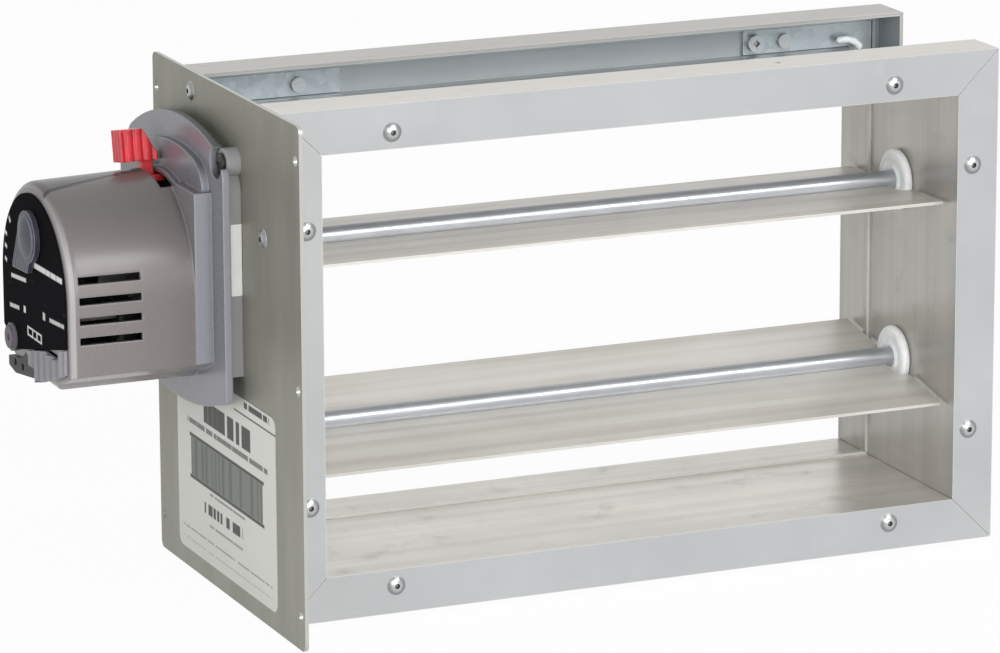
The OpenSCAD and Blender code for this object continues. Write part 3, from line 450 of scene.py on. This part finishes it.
def rivet_metal(name, metals):
    """Heads painted brighter on the crown and darker round the rim as shade, with painted shade in
    the mandrel hole.
    """
    f = Finish(name)
    fine = f.noise(2200, detail=3, roughness=0.6)
    bare_and_highlight, grime_and_shade = tone(236, 236, 236), tone(40, 40, 42)
    # Painted shade: the heads are drawn darker where they turn away round the rim and brighter on
    # the crown
    crown = (abs(f.nx) | abs(f.ny)).step(0.86, 0.98)
    colour = f.brighten(metals.rivet, (0.45 + 0.4 * crown) * (0.8 + 0.4 * fine))
    colour = f.mix(colour, bare_and_highlight, f.edge(0.4 * MM) * 0.4)
    # Painted shade in the mandrel hole and round the head
    colour = f.mix(colour, grime_and_shade, f.recess(2.5 * MM))
    return f.surface(colour, 0.2 + 0.2 * fine, 0.8, fine, metals.grain_depth)


def shaft_metal(name, metals):
    """Bright plated rod with lengthwise sheen and light rub marks."""
    f = Finish(name)
    lines = f.noise(1800, along=ALONG_X)
    rubs = f.noise(260, detail=3, roughness=0.6, along=(0.3, 1, 1))
    colour = f.brighten(metals.shaft, 0.75 + 0.35 * rubs)
    return f.surface(colour, 0.27 + 0.12 * rubs, 0.6, lines + rubs * 0.3, metals.grain_depth)


def plate_metal(name, metals):
    """Dull side plate with faint upright streaks and bare cut edges."""
    f = Finish(name)
    streaks = f.noise(60, detail=3, along=(1, 1, 0.2))
    lines = f.noise(1500, along=ALONG_Z)
    clouds = f.noise(16, detail=3)
    specks = f.noise(520, detail=3, roughness=0.7).step(0.66, 0.76)
    grime_and_shade = tone(90, 88, 80)
    face = abs(f.nx).step(0.5, 0.8)
    outside = (0 - f.nx).step(0.5, 0.8)
    pale = (streaks * 0.5 + clouds * 0.5).step(0.4, 0.62)
    colour = f.mix(metals.plate, metals.plate_pale, pale)
    colour = f.mix(colour, metals.channel, face - outside)
    colour = f.mix(f.brighten(colour, 0.94 + 0.12 * lines), grime_and_shade, specks * 0.35)
    colour = f.mix(metals.cut_edge, colour, face)
    roughness = 0.42 + 0.12 * clouds - 0.1 * (1 - face)
    metallic = 0.35 + 0.35 * (1 - face)
    return f.surface(colour, roughness, metallic, lines * 0.6 + streaks * 0.3, metals.grain_depth)


def nylon(name, dirt_and_shade):
    """White moulded nylon, greyer in cloudy stains, with painted shade in its hollows."""
    f = Finish(name)
    fine = f.noise(1400, detail=3, roughness=0.6)
    clouds = f.noise(160, detail=3)
    white, grey = tone(251, 254, 255), tone(204, 209, 212)
    # Grey from cloudy stains, and painted shade in the hollows
    dirt_and_shade_mask = (clouds.step(0.42, 0.7) * 0.6 | f.recess(2 * MM) * 0.5) * dirt_and_shade
    return f.surface(
        f.mix(white, grey, dirt_and_shade_mask),
        0.32 + 0.15 * fine,
        relief=fine,
        depth=0.02 * MM,
        soft_edge=0.5 * MM,
        Subsurface_Weight=0.15,
        Subsurface_Scale=2 * MM,
    )


def moulded(name, colour, depth=0.03 * MM, roughness=0.42, soft_edge=0.0, per_metre=2200):
    """Spark textured moulding with slight shade changes and rubbed edges."""
    f = Finish(name)
    grain = f.noise(per_metre, detail=3, roughness=0.6)
    clouds = f.noise(35, detail=3)
    wear_and_highlight = f.edge(0.6 * MM)
    rubbed_and_highlight = tuple(min(1, 1.7 * part + 0.02) for part in colour)
    shade = f.mix(f.brighten(colour, 0.93 + 0.14 * clouds), rubbed_and_highlight, wear_and_highlight * 0.3)
    rough = roughness + 0.1 * clouds + 0.08 * (grain - 0.5) - 0.08 * wear_and_highlight
    return f.surface(shade, rough, relief=grain, depth=depth, soft_edge=soft_edge)


def housing_plastic(name, actuator):
    """Satin cover: warm body, cooler flange, parting line on the round top, with painted shade on
    the top and in the vents, and painted highlights on its edges, the rim of the nose and the
    forward faces of the flange.
    """
    f = Finish(name)
    grain = f.noise(2600, detail=3, roughness=0.6)
    clouds = f.noise(28, detail=3)
    wear_and_highlight = f.edge(0.7 * MM)
    rubbed_and_highlight, parting, grime_and_shade = tone(206, 204, 208), tone(28, 27, 28), tone(36, 34, 34)
    flange = f.x.step(*COVER_FLANGE_X)
    top = f.nz.step(0.25, 0.85)
    outward, forward = 0 - f.nx, 0 - f.ny
    seam_y = SEAM_NOSE_Y + (f.x - SEAM_NOSE_X) * SEAM_SLOPE
    seam = 1 - abs(f.y - seam_y).step(0.7, 1.5)
    seam = seam * f.nz.step(0.4, 0.6) * (1 - f.x.step(*SEAM_END_X))
    behind_seam = (f.y - seam_y).step(-0.5, 0.5) * (1 - flange)
    # Rim of the nose, by its normal, for a painted highlight
    nose_rim = outward.step(0.25, 0.5) * (1 - outward.step(0.8, 0.95)) * (1 - flange)
    colour = f.mix(actuator.housing, actuator.flange, flange)
    colour = f.brighten(colour, 0.95 + 0.1 * clouds)
    # Painted shade darkens the round top; the cover is also darker behind the parting line
    colour = f.brighten(colour, 1 - 0.34 * top - 0.3 * behind_seam)
    # Painted light: the forward faces of the flange are drawn brighter
    colour = f.brighten(colour, 1 + 0.55 * flange * forward.step(0.5, 0.9))
    # Painted highlight along the edges and round the rim of the nose, partly edge wear
    colour = f.mix(colour, rubbed_and_highlight, wear_and_highlight * 0.6 | nose_rim * 0.5 * (1 - top))
    colour = f.mix(colour, parting, seam * 0.9)
    # Painted shade in the vents and recesses
    colour = f.mix(colour, grime_and_shade, f.recess(6 * MM) * 0.5)
    roughness = 0.24 + 0.08 * clouds + 0.06 * (grain - 0.5)
    return f.surface(
        colour,
        roughness,
        relief=grain * 0.25 - seam * 4,
        depth=0.04 * MM,
        soft_edge=actuator.soft_edge,
    )


def rating_film(name, labels):
    """Off-white film with plain printed bars, a framed grey box and small blocks."""
    f = Finish(name)
    dashes = f.noise(330, detail=1, along=UPRIGHT_STRIPES).step(0.36, 0.40)
    columns = f.noise(260, detail=0, along=UPRIGHT_STRIPES).step(0.52, 0.56)
    wide_columns = f.noise(190, detail=0, along=UPRIGHT_STRIPES).step(0.40, 0.44)
    between_columns = 1 - columns
    # Printed bars: two widths and two heights in millimetres, what breaks them, how dark they are
    bars = (
        (-18, -45, -20.5, -18, dashes, 1),
        (-7, -51.3, -23.1, -23.8, 1, 1),
        (29.7, -24.4, -28, -37, wide_columns, 1),
        (45.7, -42.7, -38.9, -41, dashes, 0.8),
        (43.5, -38.5, -44.9, -46.3, 1, 1),
        (43.5, -38.5, -62, -63.4, 1, 1),
        (21.4, -17.4, -64.7, -65.6, dashes, 0.7),
        (27.8, 7.8, -69.6, -74, between_columns, 1),
        (3.5, -14.8, -69.6, -74, between_columns, 1),
        (22, -14.6, -77.6, -78.6, dashes, 0.6),
        (52.3, -5.6, -84.4, -85.1, dashes, 0.6),
        (-8.8, -46.2, -84.4, -85.1, dashes, 0.6),
        (52.3, -46.2, -89, -89.6, dashes, 0.3),
    )
    ink = 0
    for y0, y1, z0, z1, broken, darkness in bars:
        ink = ink | f.block(y0, y1, z0, z1) * broken * darkness
    grey_box = f.block(42, -37, -46.3, -62)
    box_stripe, grime_and_shade = tone(112, 116, 110), tone(120, 118, 110)
    clouds = f.noise(40, detail=3, roughness=0.6)
    fibre = f.noise(1700, detail=3, roughness=0.6)
    paper = f.brighten(labels.film, 0.94 + 0.1 * clouds)
    colour = f.mix(paper, f.mix(labels.box_grey, box_stripe, columns), grey_box)
    colour = f.mix(colour, labels.ink, ink * 0.92)
    colour = f.mix(colour, grime_and_shade, f.edge(0.5 * MM) * 0.4)
    roughness = 0.42 + 0.1 * clouds - 0.1 * ink
    return f.surface(
        colour, roughness, relief=fibre - ink * 0.5, depth=0.015 * MM, Specular_IOR_Level=0.1
    )


def dial_film(name, actuator):
    """Black film with plain white marks round the pointer."""
    f = Finish(name)
    # Straight marks: both ends (Y, Z) and width in millimetres, how bright they are
    strokes = [
        ((61.6, 44.6), (60, 42.6), 1.8, 1),
        ((36.8, 31.4), (-1.2, 32.2), 2.2, 1),
        ((60.4, 21.5), (42.3, 23.1), 1.6, 0.9),
        ((63, 9.1), (51.5, 10.1), 1.6, 0.8),
        ((15, 13.6), (-2.3, 14.7), 1.6, 0.8),
    ]
    for y, z in ((65.7, 37.2), (66.1, 32), (66.5, 26.6)):
        strokes.append(((y + 1.2, z + 0.4), (y - 1.2, z - 0.4), 1.6, 1))
    marks = f.block(46, 43.6, 9.8, 12.4) | f.block(22.8, 20, 12, 15) * 0.8
    for start, end, width, brightness in strokes:
        marks = marks | f.stroke(start, end, width) * brightness
    windows = f.block(42.1, 24.7, 1.5, 5.4)
    for y0, y1 in ((40.9, 36.2), (34.8, 31.2), (29.8, 26)):
        windows = windows - f.block(y0, y1, 2.3, 4.6)
    marks = marks | windows.step(0.2, 0.8) * 0.9
    printed = f.noise(420, detail=1, along=(0, 1, 0.3)).step(0.3, 0.42)
    clouds = f.noise(60, detail=3, roughness=0.6)
    scratches = f.noise(400, detail=3, roughness=0.6, along=(1, 0.1, 1)).step(0.66, 0.76)
    scratched = tone(92, 92, 98)
    colour = f.brighten(actuator.panel, 0.6 + 0.4 * clouds)
    colour = f.mix(colour, scratched, scratches * 0.25)
    colour = f.mix(colour, actuator.marks, marks * (0.35 + 0.65 * printed))
    return f.surface(
        colour,
        0.5 + 0.15 * clouds,
        relief=marks * 0.5 + clouds * 0.3,
        soft_edge=0.4 * MM,
        Specular_IOR_Level=0.004,
    )


def pointer_plastic(name, actuator):
    """Blue grey pointer with grip ribs along its finger."""
    f = Finish(name)
    y, z = f.y - POINTER_Y, f.z - POINTER_Z
    along = y * math.cos(POINTER_AIM) + z * math.sin(POINTER_AIM)
    across = z * math.cos(POINTER_AIM) - y * math.sin(POINTER_AIM)
    ribs = (across * POINTER_RIBS).sine() * 0.5 + 0.5
    finger_ribs = ribs * along.step(*POINTER_FINGER)
    grain = f.noise(2400, detail=3, roughness=0.6)
    clouds = f.noise(90, detail=3)
    ridge, rubbed_and_highlight = tone(60, 60, 68), tone(196, 198, 208)
    colour = f.brighten(actuator.pointer, 0.9 + 0.2 * clouds)
    colour = f.mix(colour, ridge, finger_ribs * 0.5)
    colour = f.mix(colour, rubbed_and_highlight, f.edge(0.8 * MM) * 0.5)
    return f.surface(
        colour,
        0.4 + 0.1 * clouds,
        relief=grain * 0.1 - finger_ribs * 2,
        depth=0.1 * MM,
        soft_edge=0.6 * MM,
    )


def lever_plastic(name, actuator):
    """Glossy red thumb piece, paler on its ridges from wear and as a painted highlight."""
    f = Finish(name)
    grain = f.noise(1800, detail=3, roughness=0.6)
    clouds = f.noise(120, detail=3)
    deep, rubbed_and_highlight = tone(150, 8, 26), tone(246, 120, 130)
    colour = f.mix(actuator.lever, deep, clouds.step(0.45, 0.7) * 0.6)
    # Paler ridges: edge wear and a painted highlight
    colour = f.mix(colour, rubbed_and_highlight, f.edge(0.8 * MM) * 0.45)
    return f.surface(
        colour,
        0.24 + 0.1 * grain,
        relief=grain * 0.3,
        soft_edge=0.9 * MM,
        Subsurface_Weight=0.1,
        Subsurface_Scale=3 * MM,
    )


def board_finish(name):
    """Green board, drawn near black as painted shade seen through the vents, with darker parts
    standing on it.
    """
    f = Finish(name)
    fine = f.noise(1500, detail=3, roughness=0.6)
    # Board colours are near black: painted shade inside the housing
    board, parts, solder = tone(12, 24, 18), tone(24, 24, 27), tone(120, 108, 60)
    raised = f.x.step(*BOARD_FACE_X)
    joints = (f.noise(700, detail=1) * (1 - raised)).step(0.62, 0.66)
    colour = f.mix(f.mix(board, parts, raised), solder, joints)
    return f.surface(
        colour, 0.5 + 0.2 * fine, relief=fine, depth=0.04 * MM, Specular_IOR_Level=0.2
    )


def turned_metal(name, colour, roughness=0.25):
    """Plain turned or pressed metal with fine marks."""
    f = Finish(name)
    fine = f.noise(1600, detail=3, roughness=0.6)
    clouds = f.noise(60, detail=3)
    bare_and_highlight = tone(235, 235, 235)
    shade = f.mix(f.brighten(colour, 0.85 + 0.3 * clouds), bare_and_highlight, f.edge(0.4 * MM) * 0.4)
    return f.surface(shade, roughness + 0.2 * fine, 0.85, fine)


def add_object(name, data):
    """New object with that data, placed in the scene."""
    made = bpy.data.objects.new(name, data)
    bpy.context.scene.collection.objects.link(made)
    return made


def smooth_line(points, steps):
    """Points of a Catmull-Rom line through the given ones."""
    ends = [points[0] * 2 - points[1]] + list(points) + [points[-1] * 2 - points[-2]]
    line = []
    for a, b, c, d in zip(ends, ends[1:], ends[2:], ends[3:]):
        slope, bend, twist = c - a, 2 * a - 5 * b + 4 * c - d, 3 * b - a - 3 * c + d
        for i in range(steps):
            t = i / steps
            line.append(0.5 * (2 * b + slope * t + bend * t**2 + twist * t**3))
    return line + [points[-1]]


def round_bar(name, points, radius, sides=24, steps=8, tip_rings=5, tip_share=0.2, ridge=0.05):
    """Bar along a smooth line, with blunt tips and three low ridges that wind round it."""
    line = smooth_line([Vector(p) for p in points], steps)
    last = len(line) - 1
    mesh = bmesh.new()
    rings = []
    for i, centre in enumerate(line):
        ahead = (line[min(i + 1, last)] - line[max(i - 1, 0)]).normalized()
        side = ahead.cross(Vector((0, 1, 0))).normalized()
        other = ahead.cross(side)
        from_tip = min(1, min(i, last - i) / tip_rings)
        ring_radius = radius * max(tip_share, math.sqrt(1 - (1 - from_tip) ** 2))
        ring = []
        for k in range(sides):
            angle = 2 * math.pi * k / sides
            outward = side * math.cos(angle) + other * math.sin(angle)
            swell = 1 + ridge * math.sin(3 * angle + 0.7 * i)
            ring.append(mesh.verts.new(centre + outward * ring_radius * swell))
        rings.append(ring)
    for low, high in zip(rings, rings[1:]):
        for k in range(sides):
            after = (k + 1) % sides
            mesh.faces.new((low[k], low[after], high[after], high[k]))
    mesh.faces.new(rings[0][::-1])
    mesh.faces.new(rings[-1])
    data = bpy.data.meshes.new(name)
    mesh.to_mesh(data)
    mesh.free()
    data.shade_smooth()
    return add_object(name, data)


class DAMPER_OT_frame_members(bpy.types.Operator):
    """Dress the four channels of the frame"""

    bl_idname = "damper.frame_members"
    bl_label = "Frame members"

    def execute(self, context):
        metals = context.scene.damper_metals
        # The upright members get a darker web than the cross members: painted shade
        across = channel_aluminium("frame_aluminium_across", metals, ALONG_X, web_painted_light=1.06)
        upright = channel_aluminium("frame_aluminium_upright", metals, ALONG_Z, web_painted_light=0.66)
        dress(across, "frame_top", "frame_bottom")
        dress(upright, "frame_left", "frame_right")
        return {"FINISHED"}


class DAMPER_OT_gussets_and_rivets(bpy.types.Operator):
    """Dress the corner gussets, rivets and gusset screw"""

    bl_idname = "damper.gussets_and_rivets"
    bl_label = "Gussets and rivets"

    def execute(self, context):
        metals = context.scene.damper_metals
        rivets = ("rivets_front", "rivets_back", "plate_rivets", "gusset_screw")
        dress(spangled_zinc("gusset_zinc", metals), *nodes_named("gusset_"))
        dress(rivet_metal("rivet_metal", metals), *rivets)
        return {"FINISHED"}


class DAMPER_OT_side_plate(bpy.types.Operator):
    """Dress the side plate"""

    bl_idname = "damper.side_plate"
    bl_label = "Side plate"

    def execute(self, context):
        dress(plate_metal("plate_metal", context.scene.damper_metals), "side_plate")
        return {"FINISHED"}


class DAMPER_OT_labels(bpy.types.Operator):
    """Dress the rating label and the small side label"""

    bl_idname = "damper.labels"
    bl_label = "Labels"

    def execute(self, context):
        sticker = moulded("sticker_film", tone(254, 254, 252), depth=0.01 * MM, roughness=0.4)
        dress(rating_film("rating_film", context.scene.damper_labels), "rating_label")
        dress(sticker, "side_sticker")
        return {"FINISHED"}


class DAMPER_OT_blades(bpy.types.Operator):
    """Dress the two blades"""

    bl_idname = "damper.blades"
    bl_label = "Blades"

    def execute(self, context):
        sheet = blade_aluminium("blade_aluminium", context.scene.damper_metals)
        dress(sheet, "blade_upper", "blade_lower")
        return {"FINISHED"}


class DAMPER_OT_shafts(bpy.types.Operator):
    """Dress the shafts, their clips and bushings"""

    bl_idname = "damper.shafts"
    bl_label = "Shafts and bushings"

    def execute(self, context):
        rod = shaft_metal("shaft_metal", context.scene.damper_metals)
        dress(rod, "shaft_upper", "shaft_lower")
        dress(turned_metal("clip_metal", tone(176, 178, 180)), "clip_upper", "clips_lower")
        dress(nylon("bushing_nylon", dirt_and_shade=0.5), *nodes_named("bushing_"))
        return {"FINISHED"}


class DAMPER_OT_gears(bpy.types.Operator):
    """Dress the timing gears and the actuator's gears"""

    bl_idname = "damper.gears"
    bl_label = "Gears"

    def execute(self, context):
        white_gears = ("timing_gear_upper", "timing_gear_lower", "output_gear", "indicator_gear")
        brass = turned_metal("pinion_brass", tone(206, 172, 96), roughness=0.2)
        dress(nylon("gear_nylon", dirt_and_shade=1.0), *white_gears)
        dress(brass, "motor_pinion")
        return {"FINISHED"}


class DAMPER_OT_housing(bpy.types.Operator):
    """Dress the actuator's base, cover and screws"""

    bl_idname = "damper.housing"
    bl_label = "Housing"

    def execute(self, context):
        actuator = context.scene.damper_actuator
        base = moulded("base_plastic", actuator.base, soft_edge=0.8 * MM)
        screws = moulded(
            "screw_black", actuator.black, depth=0.05 * MM, roughness=0.3, soft_edge=0.4 * MM
        )
        dress(housing_plastic("housing_plastic", actuator), "housing_cover")
        dress(base, "mounting_base")
        dress(screws, "base_screws")
        return {"FINISHED"}


class DAMPER_OT_dial(bpy.types.Operator):
    """Dress the dial panel and its pointer"""

    bl_idname = "damper.dial"
    bl_label = "Dial and pointer"

    def execute(self, context):
        actuator = context.scene.damper_actuator
        dress(dial_film("dial_film", actuator), "dial_label")
        dress(pointer_plastic("pointer_plastic", actuator), "dial_pointer")
        return {"FINISHED"}


class DAMPER_OT_release_lever(bpy.types.Operator):
    """Dress the red release lever"""

    bl_idname = "damper.release_lever"
    bl_label = "Release lever"

    def execute(self, context):
        dress(lever_plastic("lever_plastic", context.scene.damper_actuator), "release_lever")
        return {"FINISHED"}


class DAMPER_OT_terminals(bpy.types.Operator):
    """Dress the terminal cover and block, plug grommet and cable clamp"""

    bl_idname = "damper.terminals"
    bl_label = "Terminals and wire way"

    def execute(self, context):
        actuator = context.scene.damper_actuator
        cover = moulded("terminal_cover_plastic", actuator.terminals, soft_edge=0.6 * MM)
        rubber = moulded(
            "grommet_rubber",
            actuator.rubber,
            depth=0.2 * MM,
            roughness=0.6,
            soft_edge=0.6 * MM,
            per_metre=900,
        )
        clamp = moulded(
            "clamp_plastic",
            actuator.black,
            depth=0.1 * MM,
            roughness=0.5,
            soft_edge=0.6 * MM,
            per_metre=1200,
        )
        # Dark green block, darkened further as painted shade inside the housing
        block = moulded("terminal_plastic", tone(20, 46, 34), soft_edge=0.4 * MM)
        dress(cover, "terminal_cover")
        dress(rubber, "wire_grommet")
        dress(clamp, "wire_clamp")
        dress(block, "terminal_block")
        return {"FINISHED"}


class DAMPER_OT_inner_works(bpy.types.Operator):
    """Dress the motor, its screws and the circuit board"""

    bl_idname = "damper.inner_works"
    bl_label = "Inner works"

    def execute(self, context):
        dress(turned_metal("motor_can", tone(188, 190, 192)), "drive_motor", "motor_screws")
        dress(board_finish("board_finish"), "circuit_board")
        return {"FINISHED"}


class DAMPER_OT_corner_bead(bpy.types.Operator):
    """Lay the white sealant bead in the back top right corner of the trough"""

    bl_idname = "damper.corner_bead"
    bl_label = "Corner bead"

    def execute(self, context):
        path = [Vector(place) * MM for place in BEAD_PATH]
        bead = round_bar("corner_bead", path, BEAD_RADIUS * MM)
        bead.data.materials.append(nylon("bead_sealant", dirt_and_shade=0.3))
        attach(bead, "casing")
        return {"FINISHED"}


def softbox(name, watts, direction, distance, size):
    """Area lamp that faces the part from a direction."""
    lamp = bpy.data.lights.new(name, "AREA")
    lamp.shape = "RECTANGLE"
    lamp.size, lamp.size_y = size
    lamp.energy = watts
    holder = add_object(name, lamp)
    away = Vector(direction).normalized()
    low, high = (Vector(corner) for corner in CAD_BOX)
    holder.location = (low + high) / 2 + away * distance
    holder.rotation_euler = away.to_track_quat("Z", "Y").to_euler()


class DAMPER_OT_studio(bpy.types.Operator):
    """Set the floor, white world, lamps and camera"""

    bl_idname = "damper.studio"
    bl_label = "Studio"

    def execute(self, context):
        scene = context.scene
        studio = scene.damper_studio
        self.make_floor(studio)
        self.make_world(scene, studio)
        softbox("key_softbox", studio.key_watts, (-0.15, -0.95, 0.24), 2.5, size=(1.6, 1.1))
        softbox("left_strip", studio.strip_watts, (-0.87, -0.36, 0.1), 1.5, size=(0.25, 1.0))
        softbox("right_card", studio.card_watts, (0.38, -0.78, 0.56), 2.2, size=(1.0, 0.45))
        self.make_camera(scene)
        scene.view_settings.view_transform = "Standard"
        return {"FINISHED"}

    def make_floor(self, studio):
        """Pale floor under the part: matt for its light and shadow, white where it is seen."""
        f = Finish("floor_white")
        pale = f.brighten((0.9, 0.9, 0.9), 0.98 + 0.04 * f.noise(30))
        matt = f.node("ShaderNodeBsdfDiffuse", None, {"Color": pale})
        plain = f.node("ShaderNodeEmission", None, {"Color": (1, 1, 1, 1), "Strength": 1.0})
        white_share = f.background_rays() * studio.floor_white
        shown = f.node("ShaderNodeMixShader", None, [white_share, matt, plain])
        f.node("ShaderNodeOutputMaterial", None, {"Surface": shown})
        mesh = bmesh.new()
        bmesh.ops.create_grid(mesh, x_segments=4, y_segments=4, size=FLOOR_HALF_SIDE)
        data = bpy.data.meshes.new("floor")
        mesh.to_mesh(data)
        mesh.free()
        data.materials.append(f.material)
        floor = add_object("floor", data)
        floor.location = (FLOOR_X, 0, CAD_BOX[0][2])

    def make_world(self, scene, studio):
        """World that is white to look at and gives the part its ambient light."""
        world = bpy.data.worlds.new("studio_world")
        n = Nodes(world)
        strength = n.background_rays() * (1 - studio.ambient) + studio.ambient
        sky = n.node("ShaderNodeBackground", None, {"Color": (1, 1, 1, 1), "Strength": strength})
        n.node("ShaderNodeOutputWorld", None, {"Surface": sky})
        scene.world = world

    def make_camera(self, scene):
        """Camera where the photograph was taken from."""
        data = bpy.data.cameras.new("photo_camera")
        data.sensor_fit = "HORIZONTAL"
        data.sensor_width = SENSOR_WIDTH
        data.lens = FOCAL_PIXELS / IMAGE_WIDTH * SENSOR_WIDTH
        camera = add_object("photo_camera", data)
        turned = Matrix((CAMERA_RIGHT, CAMERA_UP, CAMERA_BACK)).transposed().to_4x4()
        camera.matrix_world = Matrix.Translation(CAMERA_PLACE) @ turned
        scene.camera = camera


STEPS = (
    DAMPER_OT_frame_members,
    DAMPER_OT_gussets_and_rivets,
    DAMPER_OT_side_plate,
    DAMPER_OT_labels,
    DAMPER_OT_blades,
    DAMPER_OT_shafts,
    DAMPER_OT_gears,
    DAMPER_OT_housing,
    DAMPER_OT_dial,
    DAMPER_OT_release_lever,
    DAMPER_OT_terminals,
    DAMPER_OT_inner_works,
    DAMPER_OT_corner_bead,
    DAMPER_OT_studio,
)
SETTINGS = {
    "damper_metals": DamperMetals,
    "damper_actuator": DamperActuator,
    "damper_labels": DamperLabels,
    "damper_studio": DamperStudio,
}


class DAMPER_PT_panel(bpy.types.Panel):
    """Steps and settings of the damper's looks"""

    bl_idname = "DAMPER_PT_panel"
    bl_label = "Zone damper"
    bl_space_type = "VIEW_3D"
    bl_region_type = "UI"
    bl_category = "Damper"

    def draw(self, context):
        for step in STEPS:
            self.layout.operator(step.bl_idname)
        for name, group in SETTINGS.items():
            box = self.layout.box()
            settings = getattr(context.scene, name)
            for field in group.__annotations__:
                box.prop(settings, field)


def register():
    for kind in (*SETTINGS.values(), *STEPS, DAMPER_PT_panel):
        bpy.utils.register_class(kind)
    for name, group in SETTINGS.items():
        setattr(bpy.types.Scene, name, PointerProperty(type=group))


def unregister():
    for name in SETTINGS:
        delattr(bpy.types.Scene, name)
    for kind in reversed((*SETTINGS.values(), *STEPS, DAMPER_PT_panel)):
        bpy.utils.unregister_class(kind)


def main():
    """Runs every step in order."""
    register()
    for step in STEPS:
        family, action = step.bl_idname.split(".")
        getattr(getattr(bpy.ops, family), action)()


if __name__ == "__main__":
    main()
